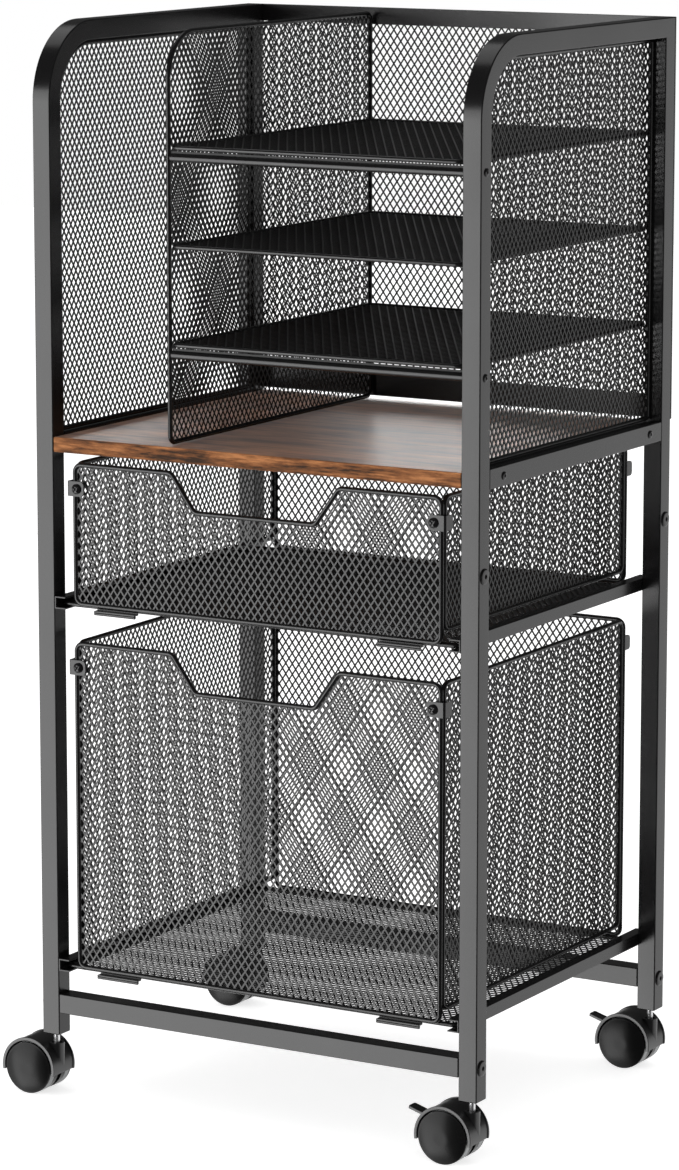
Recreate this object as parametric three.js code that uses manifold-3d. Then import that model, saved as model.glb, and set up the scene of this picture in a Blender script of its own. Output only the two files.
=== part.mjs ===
// Mobile file cart: two bent tube hoops on swivel casters, a wooden board, mesh panels,
// a letter-tray bay with a divider, and two mesh drawers that slide in channel runners.
// Millimetres, +Z up, +Y to the back. The drawers pull out towards -Y.

import * as THREE from "three";
import { mergeVertices } from "three/addons/utils/BufferGeometryUtils.js";
import Module from "manifold-3d";

const wasm = await Module();
wasm.setup();

// Driving dimensions of the frame
const CART_WIDTH = 400;
const CART_DEPTH = 323;
const FRAME_HEIGHT = 815;
const TUBE = 16;
const TUBE_WALL = 1.2;
const TUBE_EDGE = 1.5;
const BEND_RADIUS = 62;
const CROSS_BAR_HEIGHT = 18.5;

// Gap between pieces that meet without a flat face on a flat face
const FIT = 0.3;

// The board between the side rails, by its top above the posts' feet
const BOARD_HEIGHT = 489.5;
const BOARD_THICKNESS = 12;
const BOARD_EDGE = 0.8;

// Mesh panels: an edge wire and a diamond lattice of flat strands, far coarser than the real mesh
const WIRE = 4;
const MESH_SHEET = 1;
const MESH_PITCH_WIDE = 86;
const MESH_PITCH_TALL = 118;
const MESH_STRAND = 4;
const PANEL_CORNER = 8;
const SIDE_PANEL_INSET = 12;
const BACK_SHEET = 2;
const BACK_BORDER = 16;

// Divider and letter trays of the upper bay; the trays are spaced evenly over the board
const DIVIDER_X = -78.5;
const DIVIDER_FRONT = 5;
const DIVIDER_TOP_GAP = 3;
const DIVIDER_REAR_GAP = 1.5;
const DIVIDER_ROUND = 38;
const SHELF_LEVELS = ["lower", "middle", "upper"];
const SHELF_SILL = 3;
const SHELF_FRONT = 3;
const SHELF_REAR_GAP = 9;
const TRAY_BAR_LEVELS = ["lower", "upper"];
const TRAY_BAR = 6.8;
const TRAY_BAR_DROP = 7.9;
const TRAY_BAR_Y = 7.5;

// Drawers and their channel runners, by heights above the posts' feet
const RUNNER = 10;
const RUNNER_WALL = 1.2;
const RUNNER_HEIGHTS = { middle: 351.5, lower: 54 };
const DRAWER_TOP_GAPS = { middle: 7, lower: 25 };
const DRAWER_SIDE_GAP = 16.5;
const DRAWER_FRONT = 1.5;
const DRAWER_REAR_GAP = 10;
const DRAWER_FRONT_LIFT = 3.3;
const DRAWER_SIDE_LIFT = 2.5;
const DIP_WIDE = 150;
const DIP_NARROW = 107;
const DIP_DEPTH = 30;
const DIP_CORNER = 6;
const RIM_CLEARANCE = 0.5;

// Corner clips, rear stop tabs and the hook tabs under the drawer fronts
const CLIP_HEIGHT = 12;
const CLIP_DROP = 15;
const CLIP_LEG = 12;
const CLIP_FACE = 1.5;
const CLIP_CHEEK = 3.1;
const STOP_TAB_REACH = 7;
const STOP_TAB_SHEET = 2;
const HOOK_TAB_WIDTH = 38;
const HOOK_TAB_INSET = 38.5;
const HOOK_TAB_SHEET = 2.5;
const HOOK_TAB_DROP = 4;

// Twin-wheel casters
const WHEEL_RADIUS = 21.3;
const WHEEL_DOME = 2;
const WHEEL_RIM_BAND = 8.5;
const WHEEL_BREAK_RISE = 1.5;
const WHEEL_EDGE = 1.2;
const HOOD_GAP = 1.2;
const HOOD_WALL = 2.5;
const HOOD_WIDTH = 31;
const HOOD_DIP = 10;
const WEB = 4;
const WEB_GAP = 0.7;
const HUB_RADIUS = 6;
const AXLE_RADIUS = 2.5;
const AXLE_END_GAP = 4;
const SWIVEL_OFFSET = 18;
const BOSS_RADIUS = 6.3;
const STEM_RADIUS = 4;
const STEM_GAP = 4;
const STEM_SEAT = 6;
const STEM_COLLAR = 1.2;
const STEM_COLLAR_RADIUS = 5.5;
const STEM_INSERT = 18;
const SOCKET_PLUG = 22;

// Brake lever: a paddle through a slot in the hood, around a pivot along the axle's direction
const LEVER_ANGLE = 149;
const LEVER_PIVOT_INSET = 1;
const LEVER_WIDTH = 10.5;
const LEVER_SHEET = 2;
const LEVER_LENGTH = 16;
const LEVER_TIP_ROUND = 0.5;
const LEVER_RISE = 17;
const LEVER_SHOE_SPREAD = 7;
const LEVER_SHOE_GAP = 1.2;
const LEVER_SLOT_SPREAD = 10;
const LEVER_SIDE_GAP = 0.5;

// Facets of round stretches
const WHEEL_FACETS = 20;
const PIN_FACETS = 12;
const HOOD_ARC_STEPS = 10;
const BEND_STEPS = 4;
const CORNER_STEPS = 1;
const MERGE_DISTANCE = 1e-4;

// Heights and places that follow from the sizes above
const halfWidth = CART_WIDTH / 2;
const innerWidth = halfWidth - TUBE;
const postX = halfWidth - TUBE / 2;
const axleZ = WHEEL_RADIUS;
const hoodInside = WHEEL_RADIUS + HOOD_GAP;
const hoodRadius = hoodInside + HOOD_WALL;
const feetZ = axleZ + hoodRadius + STEM_GAP;
const topZ = feetZ + FRAME_HEIGHT;
const boardTop = feetZ + BOARD_HEIGHT;
const boardLow = boardTop - BOARD_THICKNESS;
const railLow = boardTop - BOARD_THICKNESS / 2 - TUBE / 2;
const railTop = railLow + TUBE;
const rearFace = CART_DEPTH - TUBE;
const drawerRear = CART_DEPTH - DRAWER_REAR_GAP;
const drawerCeilings = { middle: boardLow, lower: feetZ + RUNNER_HEIGHTS.middle };

const POWDER_COAT = { color: 0x2b2b2d, roughness: 0.5, metalness: 0.4 };
const WOOD = { color: 0x7a4a28, roughness: 0.6, metalness: 0 };
const BLACK_PLASTIC = { color: 0x161617, roughness: 0.45, metalness: 0 };
const BRIGHT_STEEL = { color: 0xc9cbce, roughness: 0.3, metalness: 0.9 };

const cart = new THREE.Group();
const part = new THREE.Group();
part.add(cart);

// Adds one named piece with its own finish.
function piece(name, shape, finish) {
  const mesh = new THREE.Mesh(geometryOf(shape), new THREE.MeshStandardMaterial(finish));
  mesh.name = name;
  cart.add(mesh);
}

// A closed geometry as a solid that can be joined and cut.
function solid(geometry) {
  const bare = geometry.clone();
  bare.deleteAttribute("normal");
  bare.deleteAttribute("uv");
  const merged = mergeVertices(bare, MERGE_DISTANCE);
  return new wasm.Manifold(
    new wasm.Mesh({
      numProp: 3,
      vertProperties: new Float32Array(merged.attributes.position.array),
      triVerts: new Uint32Array(merged.index.array),
    }),
  );
}

// The joined or cut solid as a geometry again.
function geometryOf(body) {
  const mesh = body.getMesh();
  const positions = new Float32Array(mesh.numVert * 3);
  for (let i = 0; i < mesh.numVert; i++) {
    const start = i * mesh.numProp;
    positions.set(mesh.vertProperties.subarray(start, start + 3), i * 3);
  }
  return new THREE.BufferGeometry()
    .setAttribute("position", new THREE.BufferAttribute(positions, 3))
    .setIndex(new THREE.BufferAttribute(new Uint32Array(mesh.triVerts), 1));
}

// A box between two corners.
function box(x0, x1, y0, y1, z0, z1) {
  const geometry = new THREE.BoxGeometry(x1 - x0, y1 - y0, z1 - z0);
  return solid(geometry.translate((x0 + x1) / 2, (y0 + y1) / 2, (z0 + z1) / 2));
}

const X_AXIS = new THREE.Vector3(1, 0, 0);
const Y_AXIS = new THREE.Vector3(0, 1, 0);
const Z_AXIS = new THREE.Vector3(0, 0, 1);

// Drawing planes: the shape's own x, y and extrusion directions in the cart.
const PLANES = {
  YZ: { basis: [Y_AXIS, Z_AXIS, X_AXIS], normal: X_AXIS, flipped: false },
  XZ: { basis: [X_AXIS, Z_AXIS, Y_AXIS.clone().negate()], normal: Y_AXIS, flipped: true },
  XY: { basis: [X_AXIS, Y_AXIS, Z_AXIS], normal: Z_AXIS, flipped: false },
};

// A flat shape given thickness between two levels of its plane, with chamfered edges if asked.
function plate(shape, plane, low, high, edge = 0, steps = CORNER_STEPS) {
  const { basis, normal, flipped } = PLANES[plane];
  const geometry = new THREE.ExtrudeGeometry(shape, {
    depth: high - low - 2 * edge,
    steps: 1,
    curveSegments: steps,
    bevelEnabled: edge > 0,
    bevelThickness: edge,
    bevelSize: edge,
    bevelOffset: -edge,
    bevelSegments: 1,
  });
  geometry.translate(0, 0, edge);
  geometry.applyMatrix4(new THREE.Matrix4().makeBasis(...basis));
  const start = normal.clone().multiplyScalar(flipped ? high : low);
  return solid(geometry.translate(start.x, start.y, start.z));
}

// A closed outline through corners [x, y, radius], anticlockwise, moved inwards by inset.
function outline(corners, inset = 0) {
  const count = corners.length;
  const edges = corners.map(([x, y], i) => {
    const [nextX, nextY] = corners[(i + 1) % count];
    const along = new THREE.Vector2(nextX - x, nextY - y).normalize();
    const inward = new THREE.Vector2(-along.y, along.x);
    return { along, inward, point: new THREE.Vector2(x, y).addScaledVector(inward, inset) };
  });
  const shape = new THREE.Shape();
  corners.forEach(([, , radius], i) => {
    const before = edges[(i + count - 1) % count];
    const after = edges[i];
    const turn = before.along.cross(after.along);
    const side = Math.sign(turn);
    const reach = after.point.clone().sub(before.point).cross(after.along) / turn;
    const corner = before.point.clone().addScaledVector(before.along, reach);
    const round = Math.max(radius - side * inset, 0);
    const angle = Math.acos(THREE.MathUtils.clamp(before.along.dot(after.along), -1, 1));
    const setback = round * Math.tan(angle / 2);
    const start = corner.clone().addScaledVector(before.along, -setback);
    const centre = start.clone().addScaledVector(before.inward, side * round);
    const from = Math.atan2(start.y - centre.y, start.x - centre.x);
    if (i === 0) shape.moveTo(start.x, start.y);
    else shape.lineTo(start.x, start.y);
    if (round > 0) {
      shape.absarc(centre.x, centre.y, round, from, from + side * angle, side < 0);
    }
  });
  shape.closePath();
  return shape;
}

// Corners of a rectangle, from its low corner round anticlockwise, with one radius for each.
function rectangle(x0, y0, x1, y1, radii) {
  const [a, b, c, d] = Array.isArray(radii) ? radii : [radii, radii, radii, radii];
  return [
    [x0, y0, a],
    [x1, y0, b],
    [x1, y1, c],
    [x0, y1, d],
  ];
}

// A ring between an outline and the same outline moved inwards, given thickness.
function ring(corners, width, plane, low, high, steps = CORNER_STEPS) {
  const inside = plate(outline(corners, width), plane, low - FIT, high + FIT, 0, steps);
  return plate(outline(corners), plane, low, high, 0, steps).subtract(inside);
}

// One layer of slanting strands over a field, its lean to one side or the other.
function strandLayer({ x0, y0, x1, y1 }, side, plane, low, high) {
  const across = Math.max(1, Math.round((x1 - x0) / MESH_PITCH_WIDE));
  const up = Math.max(1, Math.round((y1 - y0) / MESH_PITCH_TALL));
  const halfWide = (x1 - x0) / across / 2;
  const halfTall = (y1 - y0) / up / 2;
  const lean = (side * halfWide) / halfTall;
  const half = (MESH_STRAND / 2) * Math.hypot(1, lean);
  const [bottom, top] = [y0 - WIRE, y1 + WIRE];
  const first = side > 0 ? 1 - 2 * up : 1;
  const bars = [];
  for (let step = 0; step < across + up; step++) {
    const startX = x0 + (first + 2 * step) * halfWide;
    const lowX = startX + (bottom - y0) * lean;
    const highX = startX + (top - y0) * lean;
    const strand = outline([
      [lowX - half, bottom, 0],
      [lowX + half, bottom, 0],
      [highX + half, top, 0],
      [highX - half, top, 0],
    ]);
    bars.push(plate(strand, plane, low, high));
  }
  return bars.reduce((sheet, bar) => sheet.add(bar));
}

// A mesh panel: a rim round the outline and two crossing layers of strands, on one middle plane.
function meshPanel(corners, plane, middle, { rim = WIRE, depth = WIRE, steps = CORNER_STEPS } = {}) {
  const edge = ring(corners, rim, plane, middle - depth / 2, middle + depth / 2, steps);
  const low = middle - MESH_SHEET / 2;
  const high = middle + MESH_SHEET / 2;
  const cover = plate(outline(corners, rim / 2), plane, low - MESH_SHEET, high + MESH_SHEET, 0, steps);
  const xs = corners.map(([x]) => x);
  const ys = corners.map(([, y]) => y);
  const field = {
    x0: Math.min(...xs) + rim,
    y0: Math.min(...ys) + rim,
    x1: Math.max(...xs) - rim,
    y1: Math.max(...ys) - rim,
  };
  const rising = strandLayer(field, 1, plane, low, middle).intersect(cover);
  const falling = strandLayer(field, -1, plane, middle, high).intersect(cover);
  return edge.add(rising).add(falling);
}

// A straight cylinder along one axis.
function pin(radius, axis, from, to, [a, b], facets = PIN_FACETS) {
  const geometry = new THREE.CylinderGeometry(radius, radius, to - from, facets);
  const middle = (from + to) / 2;
  if (axis === "X") geometry.rotateZ(-Math.PI / 2).translate(middle, a, b);
  if (axis === "Y") geometry.translate(a, middle, b);
  if (axis === "Z") geometry.rotateX(Math.PI / 2).translate(a, b, middle);
  return solid(geometry);
}

// An open-ended square tube along X or Y.
function openTube(plane, low, high, u, v) {
  const corners = rectangle(u, v, u + TUBE, v + TUBE, TUBE_EDGE);
  return ring(corners, TUBE_WALL, plane, low, high);
}

// The hole through the plug in a post's foot, for the caster's stem.
function stemHole(x, y) {
  return pin(STEM_RADIUS + FIT, "Z", feetZ - FIT, feetZ + SOCKET_PLUG + FIT, [x, y]);
}

// Front post, bend and top rail as one tube, drawn from the side.
function hoop(side) {
  const rim = (inset) => {
    const foot = inset > 0 ? feetZ + SOCKET_PLUG : feetZ;
    const inner = BEND_RADIUS - TUBE;
    const rear = CART_DEPTH - inset;
    return outline([
      [inset, foot, 0],
      [TUBE - inset, foot, 0],
      [TUBE - inset, topZ - TUBE + inset, inner + inset],
      [rear, topZ - TUBE + inset, 0],
      [rear, topZ - inset, 0],
      [inset, topZ - inset, BEND_RADIUS - inset],
    ]);
  };
  const low = side > 0 ? innerWidth : -halfWidth;
  const shell = plate(rim(0), "YZ", low, low + TUBE, TUBE_EDGE, BEND_STEPS);
  const hollow = plate(rim(TUBE_WALL), "YZ", low + TUBE_WALL, low + TUBE - TUBE_WALL, 0, BEND_STEPS);
  return shell.subtract(hollow).subtract(stemHole(side * postX, TUBE / 2));
}

// Rear post under the end of the top rail.
function rearPost(side) {
  const low = side > 0 ? innerWidth : -halfWidth;
  const corners = rectangle(low, rearFace, low + TUBE, CART_DEPTH, TUBE_EDGE);
  const shell = plate(outline(corners), "XY", feetZ, topZ - TUBE);
  const inside = outline(corners, TUBE_WALL);
  const hollow = plate(inside, "XY", feetZ + SOCKET_PLUG, topZ - TUBE - TUBE_WALL);
  return shell.subtract(hollow).subtract(stemHole(side * postX, CART_DEPTH - TUBE / 2));
}

// Mesh panel in the opening between the posts, the side rail and the top rail.
function sidePanel(side) {
  const low = TUBE + FIT;
  const high = rearFace - FIT;
  const bottom = railTop + FIT;
  const top = topZ - TUBE - FIT;
  const bend = BEND_RADIUS - TUBE;
  const corners = rectangle(low, bottom, high, top, [WIRE, WIRE, WIRE, bend]);
  return meshPanel(corners, "YZ", side * (halfWidth - SIDE_PANEL_INSET), { steps: BEND_STEPS });
}

// Flat-bordered mesh panel across the backs of the rear posts.
function backPanel() {
  const corners = rectangle(-halfWidth, railTop, halfWidth, topZ, 0);
  const middle = CART_DEPTH + BACK_SHEET / 2;
  return meshPanel(corners, "XZ", middle, { rim: BACK_BORDER, depth: BACK_SHEET });
}

// Channel runner, open towards the drawer.
function runner(side, low) {
  const web = side * innerWidth;
  const lip = side * (innerWidth - RUNNER);
  const inside = side * (innerWidth - RUNNER_WALL);
  const high = low + RUNNER;
  const corners = [
    [lip, low, 0],
    [web, low, 0],
    [web, high, 0],
    [lip, high, 0],
    [lip, high - RUNNER_WALL, 0],
    [inside, high - RUNNER_WALL, 0],
    [inside, low + RUNNER_WALL, 0],
    [lip, low + RUNNER_WALL, 0],
  ];
  if (side < 0) corners.reverse();
  return plate(outline(corners), "XZ", 0, CART_DEPTH);
}

// Frame, rails, board and runners
for (const [label, side] of [["left", -1], ["right", 1]]) {
  const low = side > 0 ? innerWidth : -halfWidth;
  piece(`${label}_hoop`, hoop(side), POWDER_COAT);
  piece(`${label}_rear_post`, rearPost(side), POWDER_COAT);
  piece(`${label}_side_rail`, openTube("XZ", TUBE, rearFace, low, railLow), POWDER_COAT);
  piece(`${label}_mesh_panel`, sidePanel(side), POWDER_COAT);
  for (const [level, height] of Object.entries(RUNNER_HEIGHTS)) {
    piece(`${level}_runner_${label}`, runner(side, feetZ + height), POWDER_COAT);
  }
}
const crossBarZ = feetZ + CROSS_BAR_HEIGHT;
piece("front_cross_bar", openTube("YZ", -innerWidth, innerWidth, 0, crossBarZ), POWDER_COAT);
piece("rear_cross_bar", openTube("YZ", -innerWidth, innerWidth, rearFace, crossBarZ), POWDER_COAT);
const boardCorners = rectangle(-innerWidth + FIT, 0, innerWidth - FIT, CART_DEPTH, 0);
piece("board", plate(outline(boardCorners), "XY", boardLow, boardTop, BOARD_EDGE), WOOD);
piece("back_panel", backPanel(), POWDER_COAT);

// Divider, letter trays and the round bars under the upper and lower trays
const dividerCorners = rectangle(
  DIVIDER_FRONT,
  boardTop + FIT,
  CART_DEPTH - DIVIDER_REAR_GAP,
  topZ - DIVIDER_TOP_GAP,
  [PANEL_CORNER, PANEL_CORNER, PANEL_CORNER, DIVIDER_ROUND],
);
piece("divider_panel", meshPanel(dividerCorners, "YZ", DIVIDER_X, { steps: BEND_STEPS }), POWDER_COAT);
const trayLeft = DIVIDER_X + WIRE / 2 + FIT;
const trayRight = innerWidth - FIT;
const shelfRear = CART_DEPTH - SHELF_REAR_GAP;
const shelfCorners = rectangle(trayLeft, SHELF_FRONT, trayRight, shelfRear, PANEL_CORNER);
const shelfBase = boardTop + SHELF_SILL;
const shelfPitch = (topZ - TUBE - shelfBase) / (SHELF_LEVELS.length + 1);
SHELF_LEVELS.forEach((level, index) => {
  const shelfZ = shelfBase + (index + 1) * shelfPitch;
  piece(`${level}_shelf`, meshPanel(shelfCorners, "XY", shelfZ), POWDER_COAT);
  if (!TRAY_BAR_LEVELS.includes(level)) return;
  const bar = pin(TRAY_BAR / 2, "X", trayLeft, trayRight, [TRAY_BAR_Y, shelfZ - TRAY_BAR_DROP]);
  piece(`${level}_tray_bar`, bar, POWDER_COAT);
});

// One drawer: five mesh panels, the front corner clips, rear stop tabs and front hook tabs.
function drawer(level) {
  const runnerLow = feetZ + RUNNER_HEIGHTS[level];
  const top = drawerCeilings[level] - DRAWER_TOP_GAPS[level];
  const half = innerWidth - DRAWER_SIDE_GAP;
  const frontLow = runnerLow + DRAWER_FRONT_LIFT;
  const frontMiddle = DRAWER_FRONT + WIRE / 2;
  const backMiddle = drawerRear - WIRE / 2;
  const panelFront = DRAWER_FRONT + WIRE + FIT;
  const panelRear = drawerRear - WIRE - FIT;
  const clipTop = top - CLIP_DROP;
  const clipLow = clipTop - CLIP_HEIGHT;

  const frontCorners = [
    [-half, frontLow, PANEL_CORNER],
    [half, frontLow, PANEL_CORNER],
    [half, top, PANEL_CORNER],
    [DIP_WIDE / 2, top, DIP_CORNER],
    [DIP_NARROW / 2, top - DIP_DEPTH, DIP_CORNER],
    [-DIP_NARROW / 2, top - DIP_DEPTH, DIP_CORNER],
    [-DIP_WIDE / 2, top, DIP_CORNER],
    [-half, top, PANEL_CORNER],
  ];
  piece(`${level}_drawer_front`, meshPanel(frontCorners, "XZ", frontMiddle), POWDER_COAT);

  const backCorners = rectangle(-half, frontLow, half, top, PANEL_CORNER);
  let back = meshPanel(backCorners, "XZ", backMiddle);
  for (const side of [-1, 1]) {
    const edges = [side * half, side * (half - STOP_TAB_SHEET)].sort((a, b) => a - b);
    back = back.add(box(...edges, backMiddle, drawerRear + STOP_TAB_REACH, clipLow, clipTop));
  }
  piece(`${level}_drawer_back`, back, POWDER_COAT);

  const sideLow = runnerLow + RUNNER + DRAWER_SIDE_LIFT;
  const sideCorners = rectangle(panelFront, sideLow, panelRear, top, PANEL_CORNER);
  for (const [label, side] of [["left", -1], ["right", 1]]) {
    const panel = meshPanel(sideCorners, "YZ", side * (half - WIRE / 2));
    piece(`${level}_drawer_${label}`, panel, POWDER_COAT);

    const inner = half - CLIP_LEG;
    const outer = half + FIT + CLIP_CHEEK;
    const face = DRAWER_FRONT - FIT - CLIP_FACE;
    const leg = [side * inner, side * outer].sort((a, b) => a - b);
    const cheek = [side * (half + FIT), side * outer].sort((a, b) => a - b);
    const clip = box(...leg, face, face + CLIP_FACE, clipLow, clipTop);
    const wrap = box(...cheek, face, face + CLIP_LEG, clipLow, clipTop);
    piece(`${level}_drawer_clip_${label}`, clip.add(wrap), POWDER_COAT);
  }

  const rimHalf = innerWidth - RUNNER_WALL - RIM_CLEARANCE;
  const rimLow = runnerLow + RUNNER_WALL + FIT;
  const rimMiddle = rimLow + WIRE / 2;
  const floorCorners = rectangle(-rimHalf, panelFront, rimHalf, panelRear, PANEL_CORNER);
  let floor = meshPanel(floorCorners, "XY", rimMiddle);
  for (const side of [-1, 1]) {
    const low = side * (half - HOOK_TAB_INSET) - HOOK_TAB_WIDTH / 2;
    const high = low + HOOK_TAB_WIDTH;
    const tabLow = rimLow - HOOK_TAB_DROP;
    const rimInside = panelFront + WIRE / 2;
    const lip = box(low, high, DRAWER_FRONT, rimInside, tabLow, tabLow + HOOK_TAB_SHEET);
    const riser = box(low, high, rimInside - HOOK_TAB_SHEET / 2, rimInside, tabLow, rimMiddle);
    floor = floor.add(lip).add(riser);
  }
  piece(`${level}_drawer_floor`, floor, POWDER_COAT);
}
drawer("middle");
drawer("lower");

// A sector between two radii round the axle, angles in degrees from +X towards +Z.
function sector(centreX, inner, outer, from, to) {
  const [start, end] = [THREE.MathUtils.degToRad(from), THREE.MathUtils.degToRad(to)];
  const shape = new THREE.Shape();
  shape.absarc(centreX, axleZ, outer, start, end, false);
  if (inner > 0) shape.absarc(centreX, axleZ, inner, end, start, true);
  else shape.lineTo(centreX, axleZ);
  shape.closePath();
  return shape;
}

// Wheel turned round the axle: tread, domed outer face and a blind bore from the inner face.
function wheel(centreX, stemY, side) {
  const inner = WEB / 2 + WEB_GAP;
  const outer = HOOD_WIDTH / 2;
  const bore = AXLE_RADIUS + FIT;
  const boreEnd = outer - AXLE_END_GAP + FIT;
  const profile = [
    [bore, inner],
    [WHEEL_RADIUS - WHEEL_EDGE, inner],
    [WHEEL_RADIUS, inner + WHEEL_EDGE],
    [WHEEL_RADIUS, outer - WHEEL_EDGE],
    [WHEEL_RADIUS - WHEEL_EDGE, outer],
    [WHEEL_RADIUS - WHEEL_RIM_BAND, outer + WHEEL_BREAK_RISE],
    [0, outer + WHEEL_DOME],
    [0, boreEnd],
    [bore, boreEnd],
    [bore, inner],
  ];
  const points = profile.map(([radius, along]) => new THREE.Vector2(radius, side * along));
  if (side < 0) points.reverse();
  return solid(new THREE.LatheGeometry(points, WHEEL_FACETS).translate(centreX, stemY, axleZ));
}

// Hood: half-round shell over the wheels, web between them, hub and the boss for the stem.
function hood(stemX, stemY, braked) {
  const centreX = stemX - SWIVEL_OFFSET;
  const low = stemY - HOOD_WIDTH / 2;
  const high = stemY + HOOD_WIDTH / 2;
  const webLow = stemY - WEB / 2;
  const webHigh = stemY + WEB / 2;
  const bossTop = feetZ - STEM_GAP;
  const arc = [-HOOD_DIP, 180 + HOOD_DIP];
  const shell = plate(sector(centreX, hoodInside, hoodRadius, ...arc), "XZ", low, high, 0, HOOD_ARC_STEPS);
  const rib = sector(centreX, 0, hoodRadius - HOOD_WALL / 2, ...arc);
  const web = plate(rib, "XZ", webLow, webHigh, 0, HOOD_ARC_STEPS);
  const hub = pin(HUB_RADIUS, "Y", webLow, webHigh, [centreX, axleZ]);
  const cavity = pin(hoodInside + HOOD_WALL / 2, "Y", low - FIT, high + FIT, [centreX, axleZ], WHEEL_FACETS);
  const boss = pin(BOSS_RADIUS, "Z", axleZ, bossTop, [stemX, stemY]).subtract(cavity);
  const stemBore = pin(STEM_RADIUS + FIT, "Z", bossTop - STEM_SEAT - FIT, bossTop + FIT, [stemX, stemY]);
  const axleBore = pin(AXLE_RADIUS + FIT, "Y", webLow - FIT, webHigh + FIT, [centreX, axleZ]);
  const body = shell.add(web).add(hub).add(boss).subtract(stemBore).subtract(axleBore);
  if (!braked) return body;
  const spread = [LEVER_ANGLE - LEVER_SLOT_SPREAD, LEVER_ANGLE + LEVER_SLOT_SPREAD];
  const slotShape = sector(centreX, WHEEL_RADIUS, hoodRadius + FIT, ...spread);
  const slotHalf = LEVER_WIDTH / 2 + LEVER_SIDE_GAP;
  return body.subtract(plate(slotShape, "XZ", stemY - slotHalf, stemY + slotHalf));
}

// Brake lever: shoe in the slot close over the tread, and the foot paddle outside.
function brakeLever(stemX, stemY) {
  const centreX = stemX - SWIVEL_OFFSET;
  const angle = THREE.MathUtils.degToRad(LEVER_ANGLE);
  const rise = THREE.MathUtils.degToRad(180 - LEVER_RISE);
  const pivotRadius = hoodRadius - LEVER_PIVOT_INSET;
  const pivotX = centreX + pivotRadius * Math.cos(angle);
  const pivotZ = axleZ + pivotRadius * Math.sin(angle);
  const spread = [LEVER_ANGLE - LEVER_SHOE_SPREAD, LEVER_ANGLE + LEVER_SHOE_SPREAD];
  const shoe = sector(centreX, WHEEL_RADIUS + LEVER_SHOE_GAP, hoodRadius, ...spread);
  const along = new THREE.Vector2(Math.cos(rise), Math.sin(rise));
  const across = new THREE.Vector2(-along.y, along.x).multiplyScalar(LEVER_SHEET / 2);
  const tip = along.clone().multiplyScalar(LEVER_LENGTH);
  const paddle = outline([
    [pivotX - across.x, pivotZ - across.y, 0],
    [pivotX + tip.x - across.x, pivotZ + tip.y - across.y, LEVER_TIP_ROUND],
    [pivotX + tip.x + across.x, pivotZ + tip.y + across.y, LEVER_TIP_ROUND],
    [pivotX + across.x, pivotZ + across.y, 0],
  ]);
  const low = stemY - LEVER_WIDTH / 2;
  const high = stemY + LEVER_WIDTH / 2;
  return plate(shoe, "XZ", low, high).add(plate(paddle, "XZ", low, high));
}

// Stem turned round its axis: the pin in the post's plug, its collar and the end in the hood.
function stem(x, y) {
  const foot = feetZ - STEM_GAP - STEM_SEAT;
  const collarTop = feetZ - FIT;
  const profile = [
    [0, foot],
    [STEM_RADIUS, foot],
    [STEM_RADIUS, collarTop - STEM_COLLAR],
    [STEM_COLLAR_RADIUS, collarTop - STEM_COLLAR],
    [STEM_COLLAR_RADIUS, collarTop],
    [STEM_RADIUS, collarTop],
    [STEM_RADIUS, feetZ + STEM_INSERT],
    [0, feetZ + STEM_INSERT],
  ];
  const points = profile.map(([radius, along]) => new THREE.Vector2(radius, along));
  const turned = new THREE.LatheGeometry(points, PIN_FACETS).rotateX(Math.PI / 2);
  return solid(turned.translate(x, y, 0));
}

// Casters under the four posts; the two on the right carry brakes.
const CASTERS = [
  ["front_left", -postX, TUBE / 2, false],
  ["front_right", postX, TUBE / 2, true],
  ["rear_left", -postX, CART_DEPTH - TUBE / 2, false],
  ["rear_right", postX, CART_DEPTH - TUBE / 2, true],
];
for (const [label, x, y, braked] of CASTERS) {
  const centreX = x - SWIVEL_OFFSET;
  const axleHalf = HOOD_WIDTH / 2 - AXLE_END_GAP;
  const axle = pin(AXLE_RADIUS, "Y", y - axleHalf, y + axleHalf, [centreX, axleZ]);
  piece(`${label}_stem`, stem(x, y), BRIGHT_STEEL);
  piece(`${label}_hood`, hood(x, y, braked), BLACK_PLASTIC);
  piece(`${label}_axle`, axle, BRIGHT_STEEL);
  piece(`${label}_wheel_fore`, wheel(centreX, y, -1), BLACK_PLASTIC);
  piece(`${label}_wheel_aft`, wheel(centreX, y, 1), BLACK_PLASTIC);
  if (braked) piece(`${label}_brake_lever`, brakeLever(x, y), BLACK_PLASTIC);
}

// Origin on the floor under the middle of the whole outline, trailing casters included
const reach = new THREE.Box3().setFromObject(cart);
const middle = reach.getCenter(new THREE.Vector3());
cart.position.set(-middle.x, -middle.y, -reach.min.z);

export default part;
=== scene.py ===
import math

import bmesh
import bpy
from bpy.props import FloatProperty, FloatVectorProperty, PointerProperty
from bpy.types import Operator, Panel, PropertyGroup
from mathutils import Matrix, Vector


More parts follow.
